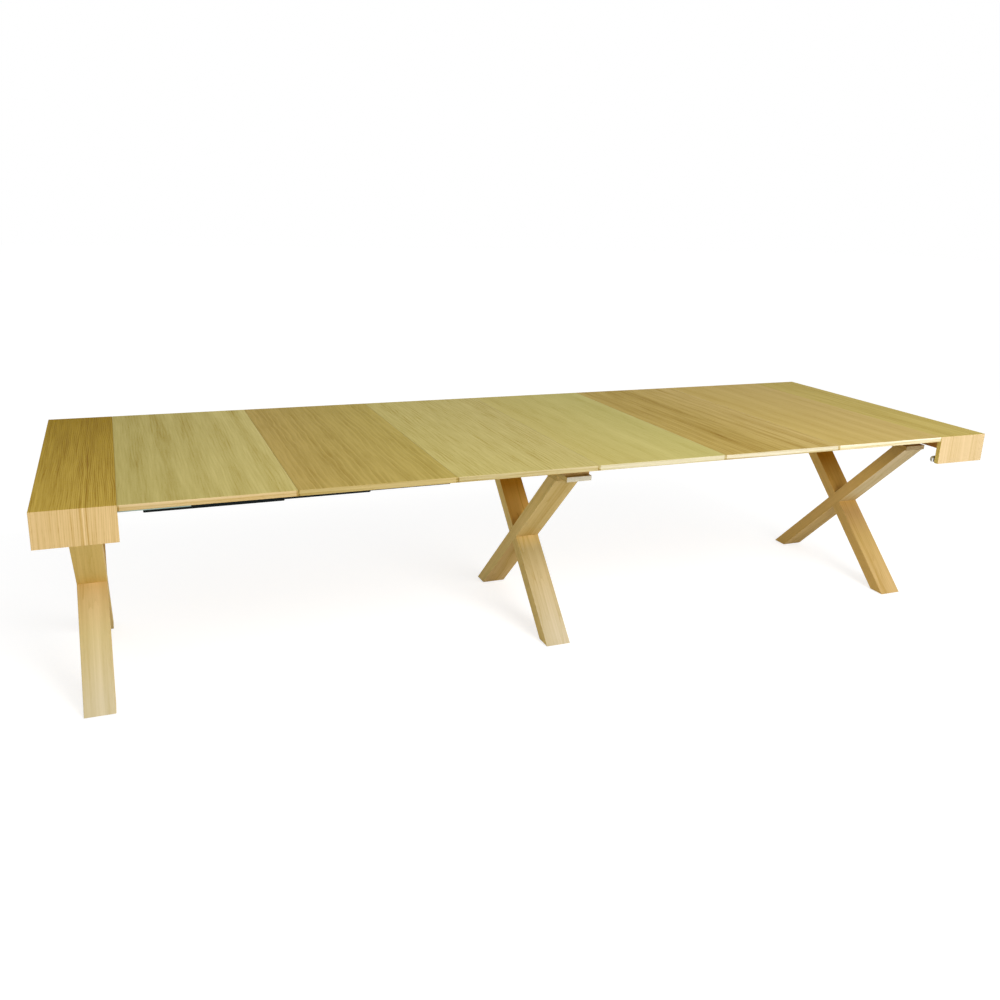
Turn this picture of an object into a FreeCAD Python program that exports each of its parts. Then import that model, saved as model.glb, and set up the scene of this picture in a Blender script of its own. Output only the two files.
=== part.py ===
import FreeCAD, Part
import math
import os

# Extending console table, fully drawn out, in millimetres.
# X runs along the table (left end negative), Y from front to back, Z up from the floor.
# The origin is on the floor under the middle of the table.

Vector = FreeCAD.Vector
UP = Vector(0, 0, 1)
DOWN = Vector(0, 0, -1)
SIDES = {"left": -1, "right": 1}
FACES = {"front": -1, "back": 1}

# Table top
table_width = 1150.0
table_height = 760.0
block_depth = 225.0
leaf_width = 500.0
leaves_per_half = 3
board = 18.0
apron_height = 108.0
seam = 0.3
edge_round = 1.0
leaf_corner_round = 2.0

# Crossed leg frames
bar_width = 96.0
bar_thickness = 48.0
bar_angle = 45.0
bar_round = 1.5
frame_nest_gap = 6.5
pad_thickness = 3.0
pad_inset = 9.0
cap_thickness = 18.0
cap_drop = 4.0
cap_overhang = 7.0
rail_thickness = 18.0
rail_overhang = 19.0
bearer_width = 60.0
bearer_end_gap = 80.0

# Telescopic slides: members side by side, each running on a dovetail tongue of its neighbour
stages_per_half = 5
slide_setback = 89.0
slide_end_gap = 5.0
member_width = 12.6
member_height = 43.0
runner_height = 31.5
face_gap = 0.4
running_gap = 0.4
leaf_gap = 0.3
tongue_reach = 4.6
tongue_root = 6.0
tongue_tip = 10.0
tongue_level = 15.0
chamber_wall = 3.0
key_height = 3.6
key_root = 3.2
key_tip = 5.6

# Glue blocks and leaf locators
corner_block = 30.0
glue_strip = 18.0
glue_strip_length = 110.0
glue_lift = 10.0
locator_length = 60.0
locator_width = 16.0
locator_height = 18.0
locator_offset = 150.0
locator_gap = 0.5

# Catches that hold the closed console together
plate_thickness = 2.5
plate_height = 26.0
plate_tail = 34.0
plate_lead = 5.0
hook_thickness = 3.0
hook_height = 24.0
hook_reach = 48.0
hook_nose = 12.0
hook_gap = 0.2
pivot_inset = 42.0
catch_lift = 16.0
catch_pin_diameter = 6.0
catch_pin_length = 6.0
pivot_head_diameter = 10.0
pivot_head_thickness = 2.0
pivot_gap = 0.08
slot_gap = 0.3

# Screws and bolts
hole_gap = 0.1
screw_cover = 6.0
screw_head_height = 2.0
bolt_diameter = 8.0
bolt_head_width = 13.0
bolt_head_height = 5.0
bolt_spread = 48.0
bolt_bite = 22.0
long_screw_diameter = 6.0
long_screw_head = 11.0
small_screw_diameter = 3.6
small_screw_head = 6.0
saddle_screw_cover = 2.0
bearer_screw_inset = 55.0
bearer_screws = 4
runner_screws = 3
runner_screw_inset = 30.0
saddle_screw_spread = 76.0
catch_screw_near = 20.0
catch_screw_far = 28.0
catch_screw_spread = 14.0

# Places worked out from the sizes above
half_width = table_width / 2
block_inner = leaves_per_half * leaf_width
half_length = block_inner + block_depth
block_edge = block_inner + seam / 2
underside = table_height - board
apron_bottom = table_height - apron_height
apron_inner = half_width - board

frame_top = apron_bottom - cap_drop
cap_top = frame_top + cap_thickness
rail_top = cap_top + rail_thickness
slope = math.radians(bar_angle)
half_rise = (frame_top - pad_thickness) / 2
run = half_rise / math.tan(slope)
half_foot = bar_thickness / 2 / math.sin(slope)
end_frame_x = block_inner + bar_width + frame_nest_gap
cap_half_length = run + half_foot + cap_overhang

member_count = 2 * stages_per_half + 2
member_pitch = member_width + face_gap
slide_depth = (member_count - 1) * member_pitch + member_width
bearer_half_length = half_width - slide_setback - slide_depth - bearer_end_gap
member_top = underside - leaf_gap
member_bottom = underside - member_height
runner_bottom = underside - runner_height
tongue_z = underside - tongue_level
half_member = block_depth - board - slide_end_gap
stage_step = 2 * block_inner / (member_count - 1)
groove_depth = tongue_reach - face_gap + running_gap
web_middle = (groove_depth + member_width) / 2
saddle_top = member_bottom - running_gap
catch_z = apron_bottom + catch_lift
screw_bite = board - screw_cover
bolt_recess = bolt_head_width / math.cos(math.pi / 6)
tolerance = 0.01


def block_between(x_span, y_span, z_span):
    """A rectangular block between two limits on each axis, given in any order."""
    low = Vector(min(x_span), min(y_span), min(z_span))
    high = Vector(max(x_span), max(y_span), max(z_span))
    size = high - low
    return Part.makeBox(size.x, size.y, size.z, low)


def flat_face(points):
    """A flat face with straight sides through the points."""
    return Part.Face(Part.makePolygon(points + points[:1]))


def prism_along_x(outline, x_start, x_end):
    """A bar along X whose section is an outline of (y, z) points."""
    face = flat_face([Vector(x_start, y, z) for y, z in outline])
    return face.extrude(Vector(x_end - x_start, 0, 0))


def mitred_board(outer, inner):
    """A board between its show face and its smaller back face, four corners each."""
    wires = [Part.makePolygon(corners + corners[:1]) for corners in (outer, inner)]
    return Part.makeLoft(wires, True, True)


def rod(start, direction, diameter, length):
    return Part.makeCylinder(diameter / 2, length, start, direction)


def drill(shape, start, direction, diameter, length):
    """Cut a clearance hole for a screw's shank or head."""
    return shape.cut(rod(start, direction, diameter + 2 * hole_gap, length + hole_gap))


def screw(seat, direction, diameter, head_diameter, head_height, length):
    """A screw whose head stands on its seat and whose shank runs along the direction."""
    head = rod(seat, direction.negative(), head_diameter, head_height)
    return head.fuse(rod(seat, direction, diameter, length)).removeSplitter()


def hex_bolt(place):
    """A bolt with a six-sided head, sunk at its place and driven down into a bar head."""
    seat = place - UP * bolt_head_height
    corners = []
    for side in range(6):
        turn = side * math.pi / 3
        corners.append(seat + Vector(math.cos(turn), math.sin(turn), 0) * bolt_recess / 2)
    head = flat_face(corners).extrude(UP * bolt_head_height)
    shank = rod(seat, DOWN, bolt_diameter, seat.z - frame_top + bolt_bite)
    return head.fuse(shank).removeSplitter()


def both_faces(shape):
    """The front piece and its mirror image at the back, as two separate solids."""
    return Part.makeCompound([shape, shape.mirror(Vector(0, 0, 0), Vector(0, 1, 0))])


def round_edges(shape, radius, chosen):
    return shape.makeFillet(radius, [edge for edge in shape.Edges if chosen(edge)])


def near(value, target):
    return abs(value - target) < tolerance


# Loose leaves

def make_leaf(index):
    x_start = -block_inner + index * leaf_width + seam / 2
    x_end = x_start + leaf_width - seam
    panel = block_between((x_start, x_end), (-half_width, half_width), (underside, table_height))
    panel = round_edges(panel, leaf_corner_round, lambda edge: near(edge.Length, board))
    return round_edges(panel, edge_round, lambda edge: near(edge.CenterOfMass.z, table_height))


def make_locators(index):
    """Blocks under a leaf, in front of and behind the slide member it rests on."""
    side = -1 if index < leaves_per_half else 1
    leaf_middle = -block_inner + (index + 0.5) * leaf_width
    x_middle = leaf_middle + side * (leaf_width / 2 - locator_offset)
    x_span = (x_middle - locator_length / 2, x_middle + locator_length / 2)
    reaching = [k for k in range(member_count) if member_middle(k) + half_member > x_span[0]]
    y_inner = member_face(reaching[0]) - locator_gap
    return both_faces(block_between(
        x_span, (y_inner - locator_width, y_inner), (underside - locator_height, underside)))


# Telescopic slides

def member_middle(k):
    return -block_inner + k * stage_step


def member_face(k):
    """The outer face of a front slide member, counted from the left runner."""
    return -half_width + slide_setback + k * member_pitch


def slide_section(k, bottom):
    """Section of a slide member: groove outside, tongue inside, key slot under the middle two."""
    y = member_face(k)
    inside = y + member_width
    flare = (tongue_tip - tongue_root) / 2 / tongue_reach
    mouth = tongue_root / 2 + flare * face_gap + running_gap
    floor_half = mouth + flare * groove_depth
    outline = [(y, bottom)]
    if k in (stages_per_half, stages_per_half + 1):
        middle = y + web_middle
        slot_mouth = key_root / 2 + running_gap
        slot_floor = key_tip / 2 + running_gap
        slot_top = bottom + key_height
        outline += [(middle - slot_mouth, bottom), (middle - slot_floor, slot_top),
                    (middle + slot_floor, slot_top), (middle + slot_mouth, bottom)]
    outline += [(inside, bottom)]
    if k < member_count - 1:
        tip = inside + tongue_reach
        outline += [(inside, tongue_z - tongue_root / 2), (tip, tongue_z - tongue_tip / 2),
                    (tip, tongue_z + tongue_tip / 2), (inside, tongue_z + tongue_root / 2)]
    outline += [(inside, member_top), (y, member_top)]
    if k > 0:
        floor = y + groove_depth
        outline += [(y, tongue_z + mouth), (floor, tongue_z + floor_half),
                    (floor, tongue_z - floor_half), (y, tongue_z - mouth)]
    return outline


def slide_member(k, bottom):
    middle = member_middle(k)
    return prism_along_x(slide_section(k, bottom), middle - half_member, middle + half_member)


def make_stage(k):
    """One free pair of slide members, each with a hollow chamber below the groove."""
    bar = slide_member(k, member_bottom)
    y_span = (member_face(k) + chamber_wall, member_face(k) + member_width - chamber_wall)
    chamber_floor = member_bottom + key_height + chamber_wall
    chamber_roof = tongue_z - tongue_tip / 2 - chamber_wall
    middle = member_middle(k)
    x_span = (middle - half_member - chamber_wall, middle + half_member + chamber_wall)
    return both_faces(bar.cut(block_between(x_span, y_span, (chamber_floor, chamber_roof))))


def runner_index(side):
    return 0 if side < 0 else member_count - 1


def runner_screw_seats(side):
    """Seats of the screws that hold a front runner up to the block's top."""
    y = member_face(runner_index(side)) + web_middle
    reach = half_member - 2 * runner_screw_inset
    step = reach / (runner_screws - 1)
    outer = block_inner + half_member - runner_screw_inset
    z = runner_bottom + screw_head_height
    return [Vector(side * (outer - n * step), y, z) for n in range(runner_screws)]


def make_runners(side):
    """The members screwed to an end block, with a raised land under its top."""
    k = runner_index(side)
    y = member_face(k)
    bar = slide_member(k, runner_bottom)
    land = block_between((side * block_edge, side * (block_inner + half_member)),
                         (y, y + member_width), (member_top, underside))
    bar = bar.fuse(land).removeSplitter()
    for seat in runner_screw_seats(side):
        bar = drill(bar, seat, UP, small_screw_diameter, underside - seat.z)
        bar = drill(bar, seat, DOWN, small_screw_head, screw_head_height)
    return both_faces(bar)


def runner_screw_length():
    return runner_height - screw_head_height + screw_bite


# End blocks

def side_x(side, from_end):
    return side * (half_length - from_end)


def block_envelope(side):
    """The outside of an end block, carried down to the floor, with every edge eased."""
    outside = block_between((side * block_edge, side * half_length), (-half_width, half_width),
                            (0, table_height))
    return outside.makeFillet(edge_round, outside.Edges)


def make_top(side):
    """Top board, mitred to the aprons on three edges."""
    edge = side * block_edge

    def corners(inset, z):
        end = side_x(side, inset)
        y = half_width - inset
        return [Vector(edge, -y, z), Vector(end, -y, z), Vector(end, y, z), Vector(edge, y, z)]

    top = mitred_board(corners(0, table_height), corners(board, underside))
    top = top.common(block_envelope(side))
    for seat in runner_screw_seats(side):
        for face in FACES.values():
            start = Vector(seat.x, -face * seat.y, underside)
            top = drill(top, start, UP, small_screw_diameter, screw_bite)
    for y in bearer_screw_places():
        start = Vector(side * end_frame_x, y, underside)
        top = drill(top, start, UP, long_screw_diameter, screw_bite)
    return top


def make_long_apron(side, face):
    """Front or back apron, mitred to the top and to the end apron."""
    edge = side * block_edge

    def corners(inset):
        end = side_x(side, inset)
        y = face * (half_width - inset)
        z = table_height - inset
        return [Vector(edge, y, apron_bottom), Vector(end, y, apron_bottom),
                Vector(end, y, z), Vector(edge, y, z)]

    apron = mitred_board(corners(0), corners(board)).common(block_envelope(side))
    for place in catch_screw_places(side):
        start = Vector(place.x, face * apron_inner, place.z)
        apron = drill(apron, start, Vector(0, face, 0), small_screw_diameter, screw_bite)
    return apron


def make_end_apron(side):
    def corners(inset):
        x = side_x(side, inset)
        y = half_width - inset
        z = table_height - inset
        return [Vector(x, -y, apron_bottom), Vector(x, y, apron_bottom),
                Vector(x, y, z), Vector(x, -y, z)]

    return mitred_board(corners(0), corners(board)).common(block_envelope(side))


def make_glue_blocks(side):
    """Corner blocks in the outer corners and strips in the angle of top and apron."""
    end = side_x(side, board)
    corner_end = end - side * corner_block
    corner = block_between((end, corner_end), (-apron_inner, corner_block - apron_inner),
                           (apron_bottom + glue_lift, underside))
    strip = block_between((corner_end, corner_end - side * glue_strip_length),
                          (-apron_inner, glue_strip - apron_inner),
                          (underside - glue_strip, underside))
    pieces = []
    for piece in (corner, strip):
        pieces += both_faces(piece).Solids
    return Part.makeCompound(pieces)


# Crossed leg frames

def bolt_places(x, z):
    """Where bolts go down from the level z into the bar heads of a frame."""
    offset = bolt_spread / 2
    return [Vector(x + dx, y, z) for dx in (-offset, offset) for y in (-run, run)]


def drill_for_bolts(shape, x, z):
    """Holes and head recesses for the bolts that go down from the level z."""
    for place in bolt_places(x, z):
        shape = drill(shape, place, DOWN, bolt_diameter, z - frame_top)
        shape = drill(shape, place, DOWN, bolt_recess, bolt_head_height)
    return shape


def bar_outline(face):
    """Outline of a bar whose foot is at the front (face -1) or the back (face 1)."""
    foot, head = face * run, -face * run
    return [(foot - half_foot, pad_thickness), (foot + half_foot, pad_thickness),
            (head + half_foot, frame_top), (head - half_foot, frame_top)]


def make_bar(x, face):
    """A leg bar, notched half its width where the two bars of a frame cross."""
    bar = prism_along_x(bar_outline(face), x - bar_width / 2, x + bar_width / 2)
    long_edge = 2 * half_rise / math.sin(slope)
    bar = round_edges(bar, bar_round, lambda edge: near(edge.Length, long_edge))
    notch_side = x + face * bar_width
    bar = bar.cut(prism_along_x(bar_outline(-face), x, notch_side))
    for place in bolt_places(x, frame_top):
        if place.y * face < 0:
            bar = drill(bar, place, DOWN, bolt_diameter, bolt_bite)
    return bar


def make_foot_pads(x):
    half_x = bar_width / 2 - pad_inset
    half_y = half_foot - pad_inset
    return both_faces(block_between(
        (x - half_x, x + half_x), (-run - half_y, -run + half_y), (0, pad_thickness)))


def make_cap(x, bolted_from, screw_ys):
    """Board across the bar heads of one frame, whose bolts go down from a given level."""
    cap = block_between((x - bar_width / 2, x + bar_width / 2),
                        (-cap_half_length, cap_half_length), (frame_top, cap_top))
    cap = cap.makeFillet(edge_round, cap.Edges)
    cap = drill_for_bolts(cap, x, bolted_from)
    for y in screw_ys:
        seat = long_screw_seat(x, y)
        cap = drill(cap, seat, UP, long_screw_diameter, cap_top - seat.z)
        cap = drill(cap, seat, DOWN, long_screw_head, screw_head_height)
    return cap


def bearer_screw_places():
    last = bearer_half_length - bearer_screw_inset
    pitch = 2 * last / (bearer_screws - 1)
    return [n * pitch - last for n in range(bearer_screws)]


def long_screw_seat(x, y):
    return Vector(x, y, frame_top + screw_head_height)


def make_bearer(x):
    """Beam between the cap of an end frame and the block's top."""
    bearer = block_between((x - bearer_width / 2, x + bearer_width / 2),
                           (-bearer_half_length, bearer_half_length), (cap_top, underside))
    for y in bearer_screw_places():
        bearer = drill(bearer, Vector(x, y, cap_top), UP, long_screw_diameter, underside - cap_top)
    return bearer


def saddle_span():
    """Front and back limits of the front saddle, under the two middle members."""
    return member_face(stages_per_half), member_face(stages_per_half + 1) + member_width


def saddle_screw_seats():
    y = sum(saddle_span()) / 2
    z = cap_top + screw_head_height
    return [Vector(x, y, z) for x in (-saddle_screw_spread / 2, saddle_screw_spread / 2)]


def saddle_screw_tip():
    return saddle_top - saddle_screw_cover


def make_rail():
    """Cross rail on the centre frame, long enough to carry both slides."""
    end = saddle_span()[0] - rail_overhang
    rail = block_between((-bar_width / 2, bar_width / 2), (end, -end), (cap_top, rail_top))
    rail = rail.makeFillet(edge_round, rail.Edges)
    rail = drill_for_bolts(rail, 0, rail_top)
    for seat in saddle_screw_seats():
        for face in FACES.values():
            start = Vector(seat.x, -face * seat.y, seat.z)
            rail = drill(rail, start, UP, small_screw_diameter, rail_top - seat.z)
            rail = drill(rail, start, DOWN, small_screw_head, screw_head_height)
    return rail


def make_saddles():
    """Guide blocks whose keys run in the slots of the two middle slide members."""
    x_span = (-bar_width / 2, bar_width / 2)
    saddle = block_between(x_span, saddle_span(), (rail_top, saddle_top))
    for k in (stages_per_half, stages_per_half + 1):
        middle = member_face(k) + web_middle
        tip = saddle_top + key_height
        key = [(middle - key_root / 2, saddle_top), (middle + key_root / 2, saddle_top),
               (middle + key_tip / 2, tip), (middle - key_tip / 2, tip)]
        saddle = saddle.fuse(prism_along_x(key, *x_span))
    saddle = saddle.removeSplitter()
    for seat in saddle_screw_seats():
        start = Vector(seat.x, seat.y, rail_top)
        saddle = drill(saddle, start, UP, small_screw_diameter, saddle_screw_tip() - rail_top)
    return both_faces(saddle)


# Catches

def catch_pivot(side):
    """Pivot of the hook on the right block, or the pin of the keeper on the left block."""
    inset = pivot_inset if side > 0 else hook_reach - pivot_inset
    return Vector(side * (block_inner + inset), -apron_inner, catch_z)


def catch_screw_places(side):
    pivot = catch_pivot(side)
    return [Vector(pivot.x + side * dx, pivot.y, pivot.z + dz)
            for dx, dz in ((catch_screw_near, catch_screw_spread / 2),
                           (catch_screw_far, -catch_screw_spread / 2))]


def catch_plate(side):
    """Plate screwed to the inner face of the front apron."""
    pivot = catch_pivot(side)
    face = pivot.y + plate_thickness
    plate = block_between((pivot.x - side * plate_lead, pivot.x + side * plate_tail), (pivot.y, face),
                          (pivot.z - plate_height / 2, pivot.z + plate_height / 2))
    for place in catch_screw_places(side):
        start = Vector(place.x, face, place.z)
        plate = drill(plate, start, Vector(0, -1, 0), small_screw_diameter, plate_thickness)
    return plate


def make_keepers():
    pivot = catch_pivot(SIDES["left"])
    pin_length = plate_thickness + catch_pin_length
    pin = rod(pivot, Vector(0, 1, 0), catch_pin_diameter, pin_length)
    return both_faces(catch_plate(SIDES["left"]).fuse(pin).removeSplitter())


def make_catch_plates():
    """Plates with a riveted stud whose head keeps the hook on."""
    pivot = catch_pivot(SIDES["right"])
    stud_length = plate_thickness + hook_thickness + 2 * hook_gap
    stud = rod(pivot, Vector(0, 1, 0), catch_pin_diameter, stud_length)
    head = rod(pivot + Vector(0, stud_length, 0), Vector(0, 1, 0),
               pivot_head_diameter, pivot_head_thickness)
    plate = catch_plate(SIDES["right"]).fuse([stud, head]).removeSplitter()
    return both_faces(plate)


def make_hook():
    """Swing hook of the front catch: round tail on the pivot, slot over the keeper's pin."""
    pivot = catch_pivot(SIDES["right"]) + Vector(0, plate_thickness + hook_gap, 0)
    half = hook_height / 2
    along_y = Vector(0, hook_thickness, 0)
    tip = -hook_reach - hook_nose

    def place(x, z):
        return pivot + Vector(x, 0, z)

    lines = [Part.LineSegment(place(0, -half), place(tip + half, -half)),
             Part.Arc(place(tip + half, -half), place(tip, 0), place(tip + half, half)),
             Part.LineSegment(place(tip + half, half), place(0, half)),
             Part.Arc(place(0, half), place(half, 0), place(0, -half))]
    hook = Part.Face(Part.Wire([line.toShape() for line in lines])).extrude(along_y)
    slot_half = catch_pin_diameter / 2 + slot_gap
    slot = block_between((pivot.x - hook_reach - slot_half, pivot.x - hook_reach + slot_half),
                         (pivot.y, pivot.y + hook_thickness), (pivot.z, pivot.z - hook_height))
    slot_end = rod(place(-hook_reach, 0), Vector(0, 1, 0), 2 * slot_half, hook_thickness)
    bore = rod(pivot, Vector(0, 1, 0), catch_pin_diameter + 2 * pivot_gap, hook_thickness)
    return hook.cut([slot, slot_end, bore])


# Screws, one group for each rigid assembly

def catch_screws(side):
    length = plate_thickness + screw_bite
    pieces = []
    for place in catch_screw_places(side):
        seat = Vector(place.x, place.y + plate_thickness, place.z)
        pieces.append(screw(seat, Vector(0, -1, 0), small_screw_diameter, small_screw_head,
                            screw_head_height, length))
    return pieces


def make_end_screws(side):
    x = side * end_frame_x
    pieces = [hex_bolt(place) for place in bolt_places(x, cap_top)]
    long_length = underside + screw_bite - long_screw_seat(x, 0).z
    for y in bearer_screw_places():
        pieces.append(screw(long_screw_seat(x, y), UP, long_screw_diameter, long_screw_head,
                            screw_head_height, long_length))
    paired = catch_screws(side)
    for seat in runner_screw_seats(side):
        paired.append(screw(seat, UP, small_screw_diameter, small_screw_head,
                            screw_head_height, runner_screw_length()))
    for piece in paired:
        pieces += both_faces(piece).Solids
    return Part.makeCompound(pieces)


def make_centre_screws():
    pieces = [hex_bolt(place) for place in bolt_places(0, rail_top)]
    for seat in saddle_screw_seats():
        saddle_length = saddle_screw_tip() - seat.z
        piece = screw(seat, UP, small_screw_diameter, small_screw_head,
                      screw_head_height, saddle_length)
        pieces += both_faces(piece).Solids
    return Part.makeCompound(pieces)


def make_frame_nodes(name, x, bolted_from, screw_ys):
    return {
        name + "_leg_front_bar": make_bar(x, FACES["front"]),
        name + "_leg_back_bar": make_bar(x, FACES["back"]),
        name + "_foot_pads": make_foot_pads(x),
        name + "_cap": make_cap(x, bolted_from, screw_ys),
    }


def make_nodes():
    nodes = make_frame_nodes("centre", 0.0, rail_top, [])
    nodes["centre_rail"] = make_rail()
    nodes["centre_saddles"] = make_saddles()
    nodes["centre_screws"] = make_centre_screws()
    for name, side in SIDES.items():
        x = side * end_frame_x
        nodes.update(make_frame_nodes(name, x, cap_top, bearer_screw_places()))
        nodes[name + "_bearer"] = make_bearer(x)
        nodes[name + "_top"] = make_top(side)
        nodes[name + "_end_apron"] = make_end_apron(side)
        for face_name, face in FACES.items():
            nodes[name + "_" + face_name + "_apron"] = make_long_apron(side, face)
        nodes[name + "_glue_blocks"] = make_glue_blocks(side)
        nodes[name + "_runners"] = make_runners(side)
        nodes[name + "_screws"] = make_end_screws(side)
        for stage in range(1, stages_per_half + 1):
            k = stage if side < 0 else member_count - 1 - stage
            nodes[f"{name}_stage_{stage}"] = make_stage(k)
    nodes["left_catch_keepers"] = make_keepers()
    nodes["right_catch_plates"] = make_catch_plates()
    front_hook, back_hook = both_faces(make_hook()).Solids
    nodes["front_catch_hook"] = front_hook
    nodes["back_catch_hook"] = back_hook
    for index in range(2 * leaves_per_half):
        nodes[f"leaf_{index + 1}"] = make_leaf(index)
        nodes[f"leaf_{index + 1}_locators"] = make_locators(index)
    return nodes


os.makedirs("parts", exist_ok=True)
for node_name, shape in make_nodes().items():
    shape.exportStep(f"parts/{node_name}.step")
    print(node_name, len(shape.Solids), "solids", round(shape.Volume), "mm3", shape.isValid())
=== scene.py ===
# %% [markdown]
# # Extending console table with loose leaves
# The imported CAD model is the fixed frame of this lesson. Every board, bar, slide and screw is
# already in its place, in metres, with the floor at z = 0, the table's length along X and its front
# at negative Y. What is left for Blender is the look: the veneers, the solid oak, the metal of the
# slides and catches, a few small mouldings, the light and the camera.

# %% Load the frame
import math

import bpy
from mathutils import Matrix, Vector


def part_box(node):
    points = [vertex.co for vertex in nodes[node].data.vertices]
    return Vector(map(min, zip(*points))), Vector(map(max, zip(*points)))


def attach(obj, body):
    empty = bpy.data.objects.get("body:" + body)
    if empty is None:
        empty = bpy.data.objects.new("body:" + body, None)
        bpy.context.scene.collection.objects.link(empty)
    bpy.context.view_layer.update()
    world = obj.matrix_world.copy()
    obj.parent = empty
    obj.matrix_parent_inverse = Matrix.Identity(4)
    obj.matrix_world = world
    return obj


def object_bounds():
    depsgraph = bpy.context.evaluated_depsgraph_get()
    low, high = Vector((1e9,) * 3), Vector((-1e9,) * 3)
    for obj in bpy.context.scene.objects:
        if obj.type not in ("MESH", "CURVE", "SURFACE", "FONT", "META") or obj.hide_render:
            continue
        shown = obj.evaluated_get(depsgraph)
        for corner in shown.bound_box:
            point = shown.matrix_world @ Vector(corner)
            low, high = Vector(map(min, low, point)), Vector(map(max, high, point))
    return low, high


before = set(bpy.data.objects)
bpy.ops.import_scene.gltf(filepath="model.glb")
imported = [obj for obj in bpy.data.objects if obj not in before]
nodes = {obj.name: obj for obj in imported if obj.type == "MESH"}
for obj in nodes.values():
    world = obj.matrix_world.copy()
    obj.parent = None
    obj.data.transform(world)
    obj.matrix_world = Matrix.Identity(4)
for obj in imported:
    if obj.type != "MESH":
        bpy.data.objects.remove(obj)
cad_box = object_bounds()
print(len(nodes), "CAD nodes, box", [[round(value, 4) for value in corner] for corner in cad_box])

# %% [markdown]
# ## Camera
# The table was photographed from the front left, at standing eye height, with a wide lens. A camera
# can be aimed by hand with a Track To constraint, but here the direction is known, so three turns
# are multiplied: the heading about the vertical, the tilt down from the horizon, and a slight roll
# about the line of sight. The lens shift moves the picture without turning the camera, so upright
# lines keep their direction.

# %% Camera
camera_place = Vector((-1.4766, -3.1887, 1.5785))
heading, tilt, roll = 0.3718, -0.2817, 0.0265
photo_lens, photo_shift = 33.475, (0.0293, -0.0259)

camera_data = bpy.data.cameras.new("photo_camera")
camera_data.lens = photo_lens
camera_data.shift_x, camera_data.shift_y = photo_shift
camera = bpy.data.objects.new("photo_camera", camera_data)
bpy.context.scene.collection.objects.link(camera)
camera.matrix_world = (Matrix.Translation(camera_place)
                       @ Matrix.Rotation(-heading, 4, "Z")
                       @ Matrix.Rotation(math.pi / 2 + tilt, 4, "X")
                       @ Matrix.Rotation(roll, 4, "Z"))
bpy.context.scene.camera = camera
print("camera looks along", [round(-value, 3) for value in camera.matrix_world.col[2][:3]])

# %% [markdown]
# ## Signals: shader maths as Python
# A finish is a small calculation for each point of a surface. In the shader editor every plus and
# minus is a node, which soon is hard to read. This class wraps one output socket. Its operators add
# Math nodes, so a finish can be written as a formula, and its one method for other nodes takes
# their type, settings and sockets.

# %% Signals
class Signal:
    """An output socket of a shader node that takes part in Python arithmetic."""

    def __init__(self, tree, socket=None):
        self.tree = tree
        self.socket = socket

    def node(self, kind, settings, sockets, output=0):
        """Add a node, set it up, fill or link its inputs, and return one of its outputs."""
        made = self.tree.nodes.new(kind)
        for name, value in settings.items():
            if name == "stops":
                self.set_stops(made.color_ramp, value)
            else:
                setattr(made, name, value)
        for name, value in sockets.items():
            if isinstance(value, Signal):
                self.tree.links.new(value.socket, made.inputs[name])
            else:
                made.inputs[name].default_value = value
        return Signal(self.tree, made.outputs[output])

    @staticmethod
    def set_stops(ramp, stops):
        """Give a colour ramp its stops, as (place, colour) pairs in rising order."""
        while len(ramp.elements) < len(stops):
            ramp.elements.new(1.0)
        for element, (place, colour) in zip(ramp.elements, stops):
            element.position = place
            element.color = colour

    def other(self, output):
        """Another output of the node that this signal comes from."""
        return Signal(self.tree, self.socket.node.outputs[output])

    def feed(self, shader, socket):
        """Link this signal to an input of a shader."""
        self.tree.links.new(self.socket, shader.inputs[socket])

    def math(self, operation, *values):
        return self.node("ShaderNodeMath", {"operation": operation}, dict(enumerate(values)))

    def __add__(self, value):
        return self.math("ADD", self, value)

    def __radd__(self, value):
        return self.math("ADD", value, self)

    def __sub__(self, value):
        return self.math("SUBTRACT", self, value)

    def __rsub__(self, value):
        return self.math("SUBTRACT", value, self)

    def __mul__(self, value):
        return self.math("MULTIPLY", self, value)

    def __rmul__(self, value):
        return self.math("MULTIPLY", value, self)

    def __truediv__(self, value):
        return self.math("DIVIDE", self, value)

    def __pow__(self, value):
        return self.math("POWER", self, value)

    def __abs__(self):
        return self.math("ABSOLUTE", self)

    def __gt__(self, value):
        return self.math("GREATER_THAN", self, value)

    def __lt__(self, value):
        return self.math("LESS_THAN", self, value)

    def floor(self):
        return self.math("FLOOR", self)

    def sine(self):
        return self.math("SINE", self)

    def at_least(self, value):
        return self.math("MAXIMUM", self, value)

    def clamped(self):
        return self.node("ShaderNodeClamp", {}, {0: self})

    def ramp(self, stops):
        """The colour that lies at this signal's place on a ramp of stops."""
        return self.node("ShaderNodeValToRGB", {"stops": stops}, {0: self})

    def blend(self, first, second):
        """The first colour where this signal is 0 and the second where it is 1."""
        return self.node("ShaderNodeMix", {"data_type": "RGBA"}, {0: self, 6: first, 7: second}, 2)

    def raise_surface(self, shader, strength, distance):
        """Use this signal as the height of small bumps."""
        self.node("ShaderNodeBump", {}, {
            "Strength": strength, "Distance": distance, "Height": self}).feed(shader, "Normal")


print("made the class", Signal.__name__)

# %% [markdown]
# ## Finishes and swatches
# Every finish is one Principled shader whose colour and roughness are worked out from the place of
# a point on the piece. Colours are easiest to judge on a screen, where they go from 0 to 255 on a
# curved scale, but a shader multiplies light, so each swatch is turned into linear values first.

# %% Finishes and swatches
def new_finish(name, gloss):
    """A material with one Principled shader, and a signal to start its maths from."""
    material = bpy.data.materials.new(name)
    material.use_nodes = True
    shader = material.node_tree.nodes["Principled BSDF"]
    shader.inputs["Specular IOR Level"].default_value = gloss
    return material, shader, Signal(material.node_tree)


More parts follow.
